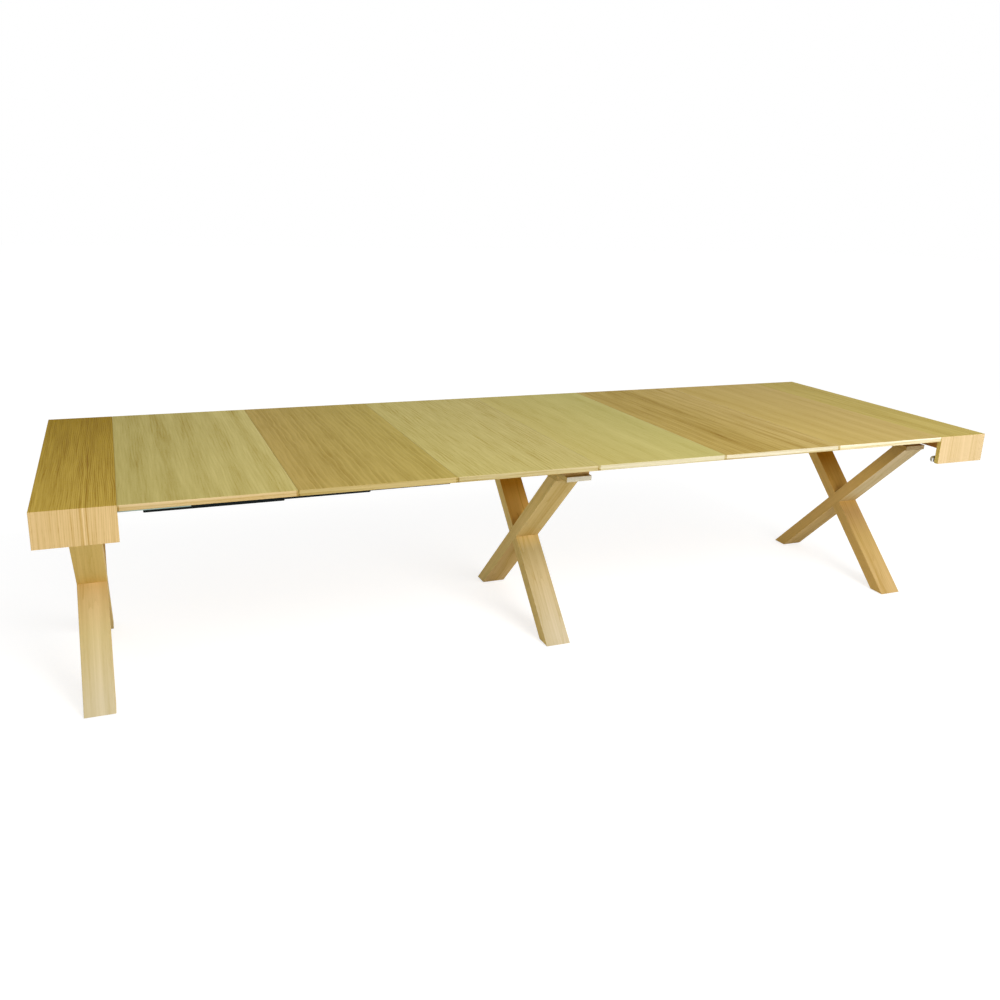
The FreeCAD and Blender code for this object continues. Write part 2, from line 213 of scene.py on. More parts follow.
def surface_point(start):
    """The point's Object coordinates, as three signals in metres."""
    point = start.node("ShaderNodeTexCoord", {}, {}, "Object")
    x = start.node("ShaderNodeSeparateXYZ", {}, {0: point}, "X")
    return x, x.other("Y"), x.other("Z")


def linear(value):
    """One channel of a swatch, from 0 to 255 as on a screen, as the linear value that a shader needs."""
    share = value / 255
    return share / 12.92 if share <= 0.04045 else ((share + 0.055) / 1.055) ** 2.4


def swatch(red, green, blue):
    return (linear(red), linear(green), linear(blue), 1.0)


def shade(colour, *factors):
    """A colour with each channel multiplied, opaque."""
    return tuple(min(1.0, channel * factor) for channel, factor in zip(colour, factors)) + (1.0,)


print("swatch of mid grey is", round(linear(128), 3), "in linear light")

# %% [markdown]
# ## Floor and background
# The table stands in a studio with a pale floor and a white background. A curved paper sweep would
# do the same in a real studio. Here the background is white only to the camera and in reflections;
# what it gives to the table as light is a plain, lower level. The floor glows a little for the
# camera too, so that it fades into the background but still takes the shadow.

# %% Floor and background
floor_size, floor_drop = 60.0, 0.0005
sky_level = 0.52
floor_shade, floor_glow, floor_cut = 0.9, 1.48, 0.5


def seen_directly(start):
    """1 for rays from the camera, from a mirror or through glass, else 0."""
    path = start.node("ShaderNodeLightPath", {}, {}, "Is Camera Ray")
    return (path + path.other("Is Glossy Ray") + path.other("Is Transmission Ray")).clamped()


world = bpy.data.worlds.new("white_studio")
world.use_nodes = True
bpy.context.scene.world = world
backdrop = world.node_tree.nodes["Background"]
backdrop.inputs["Color"].default_value = (1.0, 1.0, 1.0, 1.0)
sky = Signal(world.node_tree)
(sky_level + (1.0 - sky_level) * seen_directly(sky)).feed(backdrop, "Strength")

bpy.ops.object.select_all(action="DESELECT")
bpy.ops.mesh.primitive_plane_add(size=floor_size, location=(0.0, 0.0, -floor_drop))
floor = bpy.context.object
floor.name = "studio_floor"

paint = bpy.data.materials.new("pale_floor")
paint.use_nodes = True
paint.node_tree.nodes.remove(paint.node_tree.nodes["Principled BSDF"])
start = Signal(paint.node_tree)
matt = start.node("ShaderNodeBsdfDiffuse", {}, {"Color": (floor_shade, floor_shade, floor_shade, 1.0)})
glow = start.node("ShaderNodeEmission", {}, {"Strength": floor_glow})
lit = start.node("ShaderNodeMixShader", {}, {0: seen_directly(start) * floor_cut, 1: matt, 2: glow})
lit.feed(paint.node_tree.nodes["Material Output"], "Surface")
floor.data.materials.append(paint)
print("floor", floor_size, "m, sky level", sky_level)

# %% [markdown]
# ## Lamps
# Fronts are brighter than tops, left-hand faces are the darkest, and the right end is brighter than
# the left: a broad light stands in front, to the right. One area lamp alone would make the far
# floor dark, and one sun alone would light both ends alike, so a soft sun gives part of the light
# and a round area lamp from the same direction the rest, which falls off along the table.

# %% Lamps
light_heading, light_height = math.radians(16.0), math.radians(34.0)
sun_level, sun_softness = 0.12, math.radians(36.0)
lamp_level, lamp_distance, lamp_size = 0.6, 4.2, 2.4
watts_per_level = 4.0 * math.pi

to_light = Vector((math.sin(light_heading) * math.cos(light_height),
                   -math.cos(light_heading) * math.cos(light_height),
                   math.sin(light_height)))
table_middle = (cad_box[0] + cad_box[1]) / 2


def hang(data):
    """Hang a light out from the middle of the table and turn it to shine on it."""
    light = bpy.data.objects.new(data.name, data)
    bpy.context.scene.collection.objects.link(light)
    light.location = table_middle + lamp_distance * to_light
    light.rotation_euler = (-to_light).to_track_quat("-Z", "Y").to_euler()


sun = bpy.data.lights.new("soft_sun", "SUN")
sun.energy = sun_level * math.pi
sun.angle = sun_softness
hang(sun)
softbox = bpy.data.lights.new("front_softbox", "AREA")
softbox.shape = "DISK"
softbox.size = lamp_size
softbox.energy = lamp_level * watts_per_level * lamp_distance ** 2
hang(softbox)
bpy.context.scene.view_settings.view_transform = "Standard"
print("sun", round(sun.energy, 2), "W/m2, softbox", round(softbox.energy), "W")

# %% [markdown]
# ## Noise drawn out along the grain
# Marks in wood, and the lines that a die or a grinder leaves on metal, are much longer than they
# are wide. A noise texture is the same in all directions, but it follows whatever coordinates it is
# given. So the place of a point is stretched first: few features to the metre along the piece and
# many across it.

# %% Noise
noise_roughness = 0.55


def stretched_noise(along, across, depth, per_metre, detail, seed):
    """Noise from 0 to 1 with so many features per metre along the grain, and across it."""
    per_length, per_width = per_metre
    spot = along.node("ShaderNodeCombineXYZ", {}, {
        0: across * per_width, 1: along * per_length, 2: depth * per_width + seed})
    return along.node("ShaderNodeTexNoise", {"noise_dimensions": "3D"}, {
        "Vector": spot, "Scale": 1.0, "Detail": detail, "Roughness": noise_roughness})


def chance(start, index, seed):
    """A steady random number from 0 to 1 for each whole number."""
    return start.node("ShaderNodeTexWhiteNoise", {"noise_dimensions": "1D"}, {"W": index + seed})


def flecks(noise, limit, gain):
    """1 in the small spots where a noise is above its limit, else 0, with soft edges."""
    return ((noise - limit) * gain).clamped()


print("noise of roughness", noise_roughness)

# %% [markdown]
# ## Oak
# Oak is a ring-porous wood: each year leaves a line of open pores and then dense, paler wood. A saw
# or a veneer knife cuts through those rings, so straight lines show where it cuts them square and
# nested arches where it grazes them. A photograph of wood could be stretched over the boards, but a
# solid formula fits every face and never repeats. It measures how far a point is from the pith of
# the log, wanders a little, and cuts that distance into rings. Streaks, pores and the tone of each
# slice of veneer come on top.
#
# A cut says how the knife met the log, in metres: the width of a ring and of a slice, where the
# first slice starts, how far the pith lies aside (in slices), how much that differs between slices,
# how deep the pith lies and how it rises along the slice. Gaps tell how often the ring lines fade
# out, and a larger run gives shorter marks.

# %% Oak figure
STRAIGHT = {"ring": 0.009, "slice": 0.125, "edge": 0.0, "aside": 0.9, "shuffle": 0.3, "depth": 0.035,
            "taper": 0.012, "gaps": 0.32, "run": 1.0}
SINGLE = {"ring": 0.006, "slice": 0.4, "edge": -1.806, "aside": 0.8, "shuffle": 0.0, "depth": 0.03,
          "taper": 0.022, "gaps": 0.2, "run": 1.6}
STAVE = {"ring": 0.006, "slice": 0.032, "edge": 0.0, "aside": 0.8, "shuffle": 0.5, "depth": 0.02,
         "taper": 0.012, "gaps": 0.32, "run": 1.0}
# Each kind of mark: how many to the metre along and across the grain, detail, and a seed of its own.
OAK_MARKS = {
    "wander": (1.0, 5.0, 2.0, 0.0),
    "ripple": (1.5, 40.0, 1.0, 5.0),
    "groups": (0.9, 11.0, 1.0, 11.0),
    "pores": (42.0, 1300.0, 0.0, 3.0),
    "fine": (2.2, 130.0, 3.0, 7.0),
    "broad": (0.5, 45.0, 2.0, 13.0),
    "patches": (0.6, 14.0, 1.0, 9.0),
}
wander_reach, ripple_reach, drift_reach = 0.04, 0.009, 0.06
line_fade, group_gain = 5.0, 3.0
pore_limit, pore_gain, stray_pores = 0.56, 7.0, 0.25
stripe_width, stripe_share, patch_share = 0.095, 0.13, 0.55


def oak_figure(along, across, depth, cut, seed):
    """Signals of an oak surface: ring lines, pores, streaks, wide bands and the tone of each slice."""
    def mark(kind, sideways=across, run=cut["run"]):
        per_length, per_width, detail, own_seed = OAK_MARKS[kind]
        per_metre = (per_length * run, per_width)
        return stretched_noise(along, sideways, depth, per_metre, detail, seed + own_seed)

    slice_index = ((across - cut["edge"]) / cut["slice"]).floor()
    luck = chance(along, slice_index, seed) - 0.5
    pith = cut["edge"] + (slice_index + 0.5 + cut["aside"] + cut["shuffle"] * luck) * cut["slice"]
    wander = mark("wander") - 0.5
    aside = across - pith
    below = depth + cut["depth"] + cut["taper"] * along
    from_pith = (aside * aside + below * below) ** 0.5
    rings = (from_pith + wander_reach * wander + ripple_reach * (mark("ripple") - 0.5)) / cut["ring"]
    early_wood = 1.0 - (rings - rings.floor())
    lines = early_wood ** line_fade * ((mark("groups") - cut["gaps"]) * group_gain).clamped()
    pores = flecks(mark("pores", run=1.0), pore_limit, pore_gain)
    drift = across + drift_reach * wander
    stripes = (drift * (2.0 * math.pi / stripe_width) + seed).sine()
    return {"lines": lines,
            "pores": pores * (stray_pores + (1.0 - stray_pores) * early_wood),
            "fine": mark("fine") - 0.5,
            "broad": mark("broad") - 0.5,
            "bands": patch_share * (mark("patches", drift) - 0.5) + stripe_share * stripes,
            "slice": luck}


print("oak: a ring each", [round(cut["ring"] * 1000, 1) for cut in (STRAIGHT, SINGLE, STAVE)], "mm")

# %% [markdown]
# ## Colour and surface of oak
# Early wood and pores are darker and browner than late wood, so a plain mix with black would look
# dirty. All marks are added up to one darkness, and a ramp turns that into factors for red, green
# and blue: blue falls fastest. The pores are left open under a thin matt lacquer, so they are sunk
# and a little rougher.

# %% Oak colour and surface
plain_darkness, pore_dark, slice_dark = 0.42, 0.15, 0.12
OAK_TINTS = [(0.1, (1.18, 1.2, 1.36, 1.0)), (0.5, (1.0, 1.0, 1.0, 1.0)),
             (0.85, (0.8, 0.73, 0.5, 1.0)), (1.0, (0.6, 0.48, 0.28, 1.0))]
oak_rough, pore_rough, line_rough = 0.48, 0.2, 0.08
line_depth, oak_bump, oak_bump_height = 0.3, 0.25, 0.0002
lacquer_gloss = 0.01


def oak_colour(figure, tone, bands=0.5, lines=0.3, fine=0.6, broad=0.4, extra=0.0):
    """The colour of an oak surface around its tone, from pale late wood to the brown of pores."""
    darkness = (plain_darkness + lines * figure["lines"] + fine * figure["fine"]
                + broad * figure["broad"] + bands * figure["bands"]
                + pore_dark * figure["pores"] + slice_dark * figure["slice"] + extra)
    tint = darkness.clamped().ramp(OAK_TINTS)
    return tint.node("ShaderNodeMix", {"data_type": "RGBA", "blend_type": "MULTIPLY"},
                     {0: 1.0, 6: tone, 7: tint}, 2)


def oak_surface(figure, shader):
    """Open pores: slightly rougher than the wood around them, and sunk."""
    (oak_rough + pore_rough * figure["pores"] + line_rough * figure["lines"]).feed(shader, "Roughness")
    height = 0.0 - figure["pores"] - line_depth * figure["lines"]
    height.raise_surface(shader, oak_bump, oak_bump_height)


print("oak tint has", len(OAK_TINTS), "stops, roughness from", oak_rough)

# %% [markdown]
# ## Veneered leaves
# Six loose leaves carry oak veneer whose grain runs from front to back. Each was cut from another
# log, so the first, third and fourth are pale and greenish, and the others browner, and the tone
# changes a little from left to right. Their edges are lipped with a thin strip whose grain runs
# along the edge, and where two leaves meet, the ends of the side strips show darker on the long
# edges. One material could do for all, but then their seams would vanish, so each leaf gets its own
# tone, log and strength of marks from the same formula.

# %% Leaf finishes
leaf_low, leaf_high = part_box("leaf_1")
leaf_top, underside, half_width = leaf_high.z, leaf_low.z, leaf_high.y
board = leaf_top - underside
skin = 0.0003
# The second tone is raw wood for the inner faces of the blocks, darkened with painted shade.
back_tone, raw_painted_shade_tone = swatch(170, 140, 80), swatch(170, 120, 55)
side_lip, side_lip_dark, lip_fall = 0.005, 0.45, 0.4
lip_marks = {"lines": 0.5, "fine": 1.4, "broad": 1.0}
first_log, next_log = 10.0, 11.0


def leaf_finish(number, look):
    """Veneer on the top of one leaf, a lipping on its four edges and a raw underside."""
    material, shader, start = new_finish(f"leaf_{number}_veneer", lacquer_gloss)
    low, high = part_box(f"leaf_{number}")
    middle, half_leaf = (low.x + high.x) / 2, (high.x - low.x) / 2
    log = first_log + next_log * number
    x, y, z = surface_point(start)
    aside = abs(x - middle)
    long_edge = abs(y) > half_width - skin
    lip = (long_edge + (aside > half_leaf - skin)).clamped()
    face = oak_figure(y, x, 0.0, {**STRAIGHT, "ring": look["ring"], "run": look["run"]}, log)
    edge = oak_figure(x + y, z, 0.0, STRAIGHT, log + 1.0)
    tone = ((x - low.x) / (2.0 * half_leaf)).ramp(look["tone"])
    below_middle = 0.5 - (z - underside) / board
    strip_end = long_edge * (aside > half_leaf - side_lip)
    darker = lip_fall * below_middle + side_lip_dark * strip_end
    lip_colour = oak_colour(edge, look["lip"], extra=darker, **lip_marks)
    seen = lip.blend(oak_colour(face, tone, **look["marks"]), lip_colour)
    (z < underside + skin).blend(seen, oak_colour(face, back_tone)).feed(shader, "Base Color")
    oak_surface(face, shader)
    return material


def dress(node, material):
    """Give a CAD node its finish, in place of the plain colour it came with."""
    nodes[node].data.materials.clear()
    nodes[node].data.materials.append(material)


# The lips grow paler and greyer from the fourth leaf to the sixth: partly their own tones, partly
# painted light, which is stronger to the right.
leaf_looks = {
    1: {"tone": [(0.0, swatch(180, 165, 95)), (1.0, swatch(190, 175, 105))],
        "lip": swatch(195, 170, 120), "ring": 0.009, "run": 2.0,
        "marks": {"bands": 1.0, "lines": 0.25, "fine": 0.95, "broad": 0.3}},
    2: {"tone": [(0.0, swatch(170, 145, 75)), (1.0, swatch(170, 150, 75))],
        "lip": swatch(170, 150, 95), "ring": 0.02, "run": 3.0,
        "marks": {"bands": 0.8, "lines": -1.2, "fine": 1.0, "broad": 0.3}},
    3: {"tone": [(0.0, swatch(185, 170, 100)), (1.0, swatch(185, 170, 105))],
        "lip": swatch(175, 160, 115), "ring": 0.012, "run": 2.7,
        "marks": {"bands": 0.3, "lines": 0.45, "fine": 1.2, "broad": 0.3}},
    4: {"tone": [(0.0, swatch(185, 170, 100)), (1.0, swatch(180, 170, 100))],
        "lip": swatch(185, 175, 140), "ring": 0.012, "run": 2.7,
        "marks": {"bands": 0.5, "lines": 0.2, "fine": 0.65, "broad": 0.2}},
    5: {"tone": [(0.45, swatch(170, 145, 75)), (1.0, swatch(185, 160, 95))],
        "lip": swatch(195, 185, 155), "ring": 0.012, "run": 2.0,
        "marks": {"bands": 0.6, "lines": 0.5, "fine": 1.3, "broad": 1.2}},
    6: {"tone": [(0.0, swatch(185, 160, 90)), (1.0, swatch(185, 160, 95))],
        "lip": swatch(210, 200, 170), "ring": 0.012, "run": 2.0,
        "marks": {"bands": 0.4, "lines": 0.15, "fine": 0.5, "broad": 0.3}},
}
for number, look in leaf_looks.items():
    dress(f"leaf_{number}", leaf_finish(number, look))
print("dressed", len(leaf_looks), "leaves")

# %% [markdown]
# ## Veneered end blocks
# The veneer of each block falls over its edges: the lines of the top run on down the front and the
# back, and the long end shows the grain lying level. The boards meet in mitres, so no edge of the
# core shows. To carry a line round a corner, the boards are unfolded in thought: a point on the
# front counts as lying beyond the front edge of the top by as much as it lies below it. The left
# block shows the heart of its log, a pale line between two dark ones.

# %% Unfolded boards and the heart
block_start, half_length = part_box("right_top")[0].x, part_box("right_top")[1].x
heart_line, heart_width, heart_bend, bend_start = -1.588, 0.004, 0.06, -0.25
heart_left, heart_right, heart_end, heart_fade = -0.006, 0.009, 0.2, 0.35


def unfolded(board_name, side, x, y, z):
    """Where a point of a block's board lies on the flat sheet of veneer: along and across its grain."""
    below = leaf_top - z
    if board_name == "front_apron":
        return 0.0 - half_width - below, x
    if board_name == "back_apron":
        return half_width + below, x
    if board_name == "end_apron":
        return y, side * (half_length + below)
    return y, x


def inner_face(board_name, x, y, z):
    """1 on the face of a block's board that looks into the block, else 0."""
    if board_name == "top":
        return z < underside + skin
    if board_name == "end_apron":
        return abs(x) < half_length - board + skin
    return abs(y) < half_width - board + skin


def heart_streak(along, across):
    """A pale line, -1, between two dark ones, 1; it bends and fades towards the back."""
    past_bend = (along - bend_start).at_least(0.0)
    aside = across - heart_line + heart_bend * past_bend * past_bend

    def ridge(middle):
        return (1.0 - abs(aside - middle) / heart_width).clamped()

    streak = ridge(heart_left) + ridge(heart_right) - ridge(0.0)
    return streak * ((heart_end - along) / heart_fade).clamped()


print("blocks from", round(block_start, 3), "to", round(half_length, 3), "m on each side")

# %% [markdown]
# ## Block finishes
# The same oak formula dresses all four boards of a block, so that its lines run on from board to
# board. The tops change in tone from front to back: painted shade, darker towards the back where
# the light falls off; the right top keeps one tone. The inner faces are raw wood in a tone
# darkened with painted shade. The sawn edge beside the leaves is raw wood too, painted paler with
# painted light, because light reaches it.

# %% Block finishes
# The sawn edge: raw wood painted paler, as painted light where light reaches it.
sawn_painted_light_tone = swatch(200, 175, 90)


def block_finish(name, board_name, look):
    """Veneer of a block's board; raw inside with painted shade, and on its sawn edge with painted light.
    """
    material, shader, start = new_finish(f"{name}_block_{board_name}_veneer", lacquer_gloss)
    x, y, z = surface_point(start)
    side = -1.0 if name == "left" else 1.0
    along, across = unfolded(board_name, side, x, y, z)
    figure = oak_figure(along, across, 0.0, look["cut"], look["log"])
    tone, marks = look["apron"], look["apron_marks"]
    if board_name == "top":
        # The top darkens from front to back: painted shade where the light falls off.
        tone, marks = (0.5 + along / (2.0 * half_width)).clamped().blend(*look["top"]), look["top_marks"]
    heart = look["heart"] * heart_streak(along, across) if "heart" in look else 0.0
    veneer = oak_colour(figure, tone, extra=heart, **marks)
    # Inner faces: raw wood, darkened with painted shade.
    veneer_and_shaded_inside = inner_face(board_name, x, y, z).blend(veneer, oak_colour(figure, raw_painted_shade_tone))
    # The sawn edge beside the leaves gets the paler tone: painted light.
    sawn = abs(x) < block_start + skin
    sawn.blend(veneer_and_shaded_inside, oak_colour(figure, sawn_painted_light_tone)).feed(shader, "Base Color")
    oak_surface(figure, shader)
    return material


# Each top has a front and a back tone; the left one is darker at the back, as painted shade.
block_looks = {
    "left": {"top": (swatch(185, 155, 65), swatch(155, 125, 25)), "apron": swatch(205, 175, 120),
             "cut": SINGLE, "log": 87.0, "heart": 0.35,
             "top_marks": {"bands": 0.45, "lines": 0.7, "fine": 1.5, "broad": 0.3},
             "apron_marks": {"bands": 0.3, "lines": 0.4, "fine": 1.0, "broad": 0.1}},
    "right": {"top": (swatch(180, 160, 85), swatch(180, 160, 85)), "apron": swatch(195, 170, 125),
              "cut": STRAIGHT, "log": 98.0,
              "top_marks": {"bands": 0.3, "lines": 0.55, "fine": 1.6, "broad": 0.5},
              "apron_marks": {"bands": 0.35, "lines": 0.25, "fine": 0.8, "broad": 0.2}},
}
block_boards = ("top", "front_apron", "back_apron", "end_apron")
for name, look in block_looks.items():
    for board_name in block_boards:
        dress(f"{name}_{board_name}", block_finish(name, board_name, look))
print("dressed", len(block_looks), "blocks of", len(block_boards), "boards")

# %% [markdown]
# ## Solid oak frames
# The crossed bars are solid oak, glued up from staves, with the grain along each bar. The same
# formula is used with real depth, so the rings that make lines along a face make arcs on its cut
# foot. A bar leans at 45 degrees, so its own directions along and across are sums and differences
# of Y and Z. The tone of a face changes from foot to head, largely as painted light and shade: the
# feet are painted paler, as painted light from the floor, and the upper face of the front bar is
# painted darker towards its head, as painted shade under the top. So each frame has a ramp over
# its height for the upper face of its front bar, one for all its other faces, a tone for the sides
# and a factor of painted shade for their heads.

# %% Frame tones
# Tones of each frame over its height, with painted light at the feet and painted shade under the top.
frame_tones_light_and_shade = {
    "left": {"front": [(0.05, swatch(205, 190, 150)), (0.3, swatch(205, 185, 130)),
                       (0.44, swatch(215, 185, 125)), (0.56, swatch(225, 185, 110)),
                       (0.8, swatch(180, 130, 50))],
             "back": [(0.05, swatch(205, 180, 120)), (0.5, swatch(210, 175, 95)),
                      (0.6, swatch(210, 180, 105))],
             "side": swatch(220, 195, 130), "head": 0.7},
    "centre": {"front": [(0.05, swatch(190, 175, 140)), (0.3, swatch(185, 165, 120)),
                         (0.44, swatch(175, 155, 105)), (0.6, swatch(245, 200, 110)),
                         (0.76, swatch(195, 140, 45))],
               "back": [(0.05, swatch(205, 175, 115)), (0.5, swatch(190, 160, 95)),
                        (0.6, swatch(190, 165, 105))],
               "side": swatch(215, 190, 120), "head": 0.98},
    "right": {"front": [(0.05, swatch(190, 160, 105)), (0.3, swatch(180, 150, 90)),
                        (0.44, swatch(175, 140, 85)), (0.6, swatch(215, 170, 85)),
                        (0.76, swatch(170, 115, 25))],
              "back": [(0.05, swatch(200, 170, 110)), (0.5, swatch(190, 160, 100)),
                       (0.6, swatch(195, 175, 130))],
              "side": swatch(200, 165, 95), "head": 0.7},
}
# Sides: lighter just above the lap; the head factor paints their heads darker, as painted shade.
SIDE_SHADES = [(0.45, (1.0, 1.0, 1.0)), (0.62, (1.12, 1.12, 1.14)), (0.8, (1.08, 1.08, 1.0))]
head_blue = 0.97
frame_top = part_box("left_leg_front_bar")[1].z
print("frames", round(frame_top, 3), "m high")

# %% [markdown]
# ## Bars, caps and the rail
# Each piece gets its own directions: a bar's grain rises to the back or to the front, and the grain
# of a cap or the rail runs from front to back. A finish is made by one function from those
# directions, and the sawn ends of the rail, which face the front and the back, get a paler tone
# over it: pale end grain, made paler still with painted light.

# %% Frame finishes
# The rail's end tone: pale end grain, made paler still with painted light.
rail_end_grain_and_light_tone = swatch(220, 215, 195)
END_SHADES = [(0.2, (1.0, 1.0, 1.0)), (0.9, (0.8, 0.76, 0.68))]
end_marks, end_darkness = (20.0, 300.0), 0.4
diagonal = math.sqrt(0.5)


def shades(tone, steps):
    """Stops of a ramp: one tone, multiplied by other factors at each place."""
    return [(place, shade(tone, *factors)) for place, factors in steps]


def rising_to_back(x, y, z):
    return (y + z) * diagonal, x, (z - y) * diagonal


def rising_to_front(x, y, z):
    return (z - y) * diagonal, x, (y + z) * diagonal


def front_to_back(x, y, z):
    return y, x, z


def solid_oak(node, tones, upper_face, directions, seed):
    """Solid oak in staves, faces and sides toned from foot to head with painted light and shade."""
    material, shader, start = new_finish(f"{node}_oak", lacquer_gloss)
    low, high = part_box(node)
    middle, half_bar = (low + high) / 2, (high.x - low.x) / 2
    x, y, z = surface_point(start)
    along, across, depth = directions(x, y, z)
    figure = oak_figure(along, across, depth, {**STAVE, "edge": low.x}, seed)
    height = z / frame_top
    upper, lower = height.ramp(tones[upper_face]), height.ramp(tones["back"])
    face = (depth > directions(*middle)[2]).blend(lower, upper)
    # Painted shade: the sides darken towards their heads, under the top.
    head = (1.0, (tones["head"], tones["head"], head_blue * tones["head"]))
    side = height.ramp(shades(tones["side"], SIDE_SHADES + [head]))
    on_side = abs(x - middle.x) > half_bar - skin
    on_side.blend(oak_colour(figure, face), oak_colour(figure, side)).feed(shader, "Base Color")
    oak_surface(figure, shader)
    return material


def end_grain(node):
    """Make the sawn ends of a node paler than its faces: end grain, and painted light."""
    material = nodes[node].data.materials[0]
    shader = material.node_tree.nodes["Principled BSDF"]
    face = Signal(material.node_tree, shader.inputs["Base Color"].links[0].from_socket)
    x, y, z = surface_point(face)
    sawn = stretched_noise(y, x, z, end_marks, detail=3.0, seed=2.0) - 0.5
    pale = (end_darkness + sawn).clamped().ramp(shades(rail_end_grain_and_light_tone, END_SHADES))
    (abs(y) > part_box(node)[1].y - skin).blend(face, pale).feed(shader, "Base Color")


# Each piece of a frame: the ramp of its upper face, its directions and its seed.
frame_pieces = (("leg_front_bar", "front", rising_to_back, 3.0),
                ("leg_back_bar", "back", rising_to_front, 14.0),
                ("cap", "back", front_to_back, 25.0))
for name, tones in frame_tones_light_and_shade.items():
    for piece, upper_face, directions, seed in frame_pieces:
        dress(f"{name}_{piece}", solid_oak(f"{name}_{piece}", tones, upper_face, directions, seed))
rail_seed = 36.0
dress("centre_rail", solid_oak("centre_rail", frame_tones_light_and_shade["centre"], "back", front_to_back, rail_seed))
end_grain("centre_rail")
print("dressed", len(frame_tones_light_and_shade), "crossed frames and the rail")

# %% [markdown]
# ## Beech inside
# Glue blocks, bearers, the saddles on the middle rail and the leaves' locators are plain beech,
# which has no open pores but is covered with short brown flecks. It only needs faint streaks and
# those flecks.

# %% Beech finish
beech_tone, beech_gloss = swatch(210, 175, 110), 0.2
BEECH_SHADES = [(0.0, (1.08, 1.1, 1.12)), (0.5, (1.0, 1.0, 1.0)), (1.0, (0.6, 0.5, 0.42))]
beech_streaks, streak_dark = (3.0, 120.0), 1.2
beech_flecks, fleck_limit, fleck_gain, fleck_dark = (130.0, 1500.0), 0.6, 8.0, 0.2
beech_rough, fleck_rough = 0.55, 0.2


def beech_finish():
    material, shader, start = new_finish("inner_beech", beech_gloss)
    x, y, z = surface_point(start)
    streaks = stretched_noise(y, x, z, beech_streaks, detail=3.0, seed=4.0) - 0.5
    spots = stretched_noise(y, x, z, beech_flecks, detail=0.0, seed=8.0)
    fleck = flecks(spots, fleck_limit, fleck_gain)
    darkness = (plain_darkness + streak_dark * streaks + fleck_dark * fleck).clamped()
    darkness.ramp(shades(beech_tone, BEECH_SHADES)).feed(shader, "Base Color")
    (beech_rough + fleck_rough * fleck).feed(shader, "Roughness")
    return material


beech = beech_finish()
beech_nodes = ["centre_saddles"]
for name in ("left", "right"):
    beech_nodes += [f"{name}_bearer", f"{name}_glue_blocks"]
for number in leaf_looks:
    beech_nodes.append(f"leaf_{number}_locators")
for node in beech_nodes:
    dress(node, beech)
print("dressed", len(beech_nodes), "nodes in beech")

# %% [markdown]
# ## Aluminium slides
# The slide members are pressed from aluminium through a die, which leaves fine straight lines along
# them, and handling leaves cloudier spots. The runners on the blocks are left bright and the free
# members are anodised dark. Both are one finish with another tone.

# %% Aluminium finish
metal_gloss = 0.5
ALUMINIUM_SHADES = [(0.0, (0.72, 0.72, 0.74)), (1.0, (1.2, 1.2, 1.2))]
die_marks, die_tone, die_rough = (0.8, 1100.0), 1.3, 0.15
wear_marks, wear_tone, wear_rough = (14.0, 40.0), 0.7, 0.25
die_bump, die_bump_height = 0.15, 0.0001


def extruded(name, tone, roughness):
    """Pressed aluminium with die lines along X."""
    material, shader, start = new_finish(name, metal_gloss)
    shader.inputs["Metallic"].default_value = 1.0
    x, y, z = surface_point(start)
    die_lines = stretched_noise(x, y, z, die_marks, detail=2.0, seed=1.0)
    wear = stretched_noise(x, y, z, wear_marks, detail=3.0, seed=6.0)
    brightness = (0.5 + die_tone * (die_lines - 0.5) + wear_tone * (wear - 0.5)).clamped()
    brightness.ramp(shades(tone, ALUMINIUM_SHADES)).feed(shader, "Base Color")
    (roughness + wear_rough * (wear - 0.5) + die_rough * (die_lines - 0.5)).feed(shader, "Roughness")
    die_lines.raise_surface(shader, die_bump, die_bump_height)
    return material


bright_aluminium = extruded("bright_aluminium", swatch(150, 170, 160), 0.4)
dark_aluminium = extruded("dark_aluminium", swatch(25, 30, 30), 0.45)
stages = range(1, 6)
for name in ("left", "right"):
    dress(f"{name}_runners", bright_aluminium)
    for stage in stages:
        dress(f"{name}_stage_{stage}", dark_aluminium)
print("dressed two pairs of runners and", 2 * len(stages), "slide stages")

# %% [markdown]
# ## Nylon pads, and catches and screws of steel
# Foot pads are moulded nylon with the fine matt grain of the mould, rubbed a little shinier in
# places. The catches and screws are steel with a thin cloudy coat of zinc and a few fine scratches.
# Plain grey plastic and plain metal would look like toys, so both get a fine mark and a cloudier
# one.

# %% Nylon and zinc finishes
nylon_gloss = 0.4
NYLON_SHADES = [(0.3, (0.8, 0.8, 0.8)), (0.7, (1.4, 1.4, 1.4))]
mould_grain, mould_bump, mould_bump_height = (1400.0, 1400.0), 0.3, 0.0002
rub_marks, nylon_rough, rub_rough = (45.0, 45.0), 0.45, 0.25
ZINC_SHADES = [(0.3, (0.78, 0.8, 0.84)), (0.7, (1.1, 1.08, 1.04))]
zinc_clouds, zinc_rough, cloud_rough = (110.0, 110.0), 0.24, 0.3
scratch_marks, scratch_limit, scratch_gain = (30.0, 1500.0), 0.66, 10.0
scratch_tone, scratch_rough = 0.3, 0.1


def moulded(name, tone):
    """Nylon with the matt grain of its mould."""
    material, shader, start = new_finish(name, nylon_gloss)
    x, y, z = surface_point(start)
    rub = stretched_noise(x, y, z, rub_marks, detail=3.0, seed=9.0)
    rub.ramp(shades(tone, NYLON_SHADES)).feed(shader, "Base Color")
    (nylon_rough + rub_rough * rub).feed(shader, "Roughness")
    grain = stretched_noise(x, y, z, mould_grain, detail=1.0, seed=2.0)
    grain.raise_surface(shader, mould_bump, mould_bump_height)
    return material


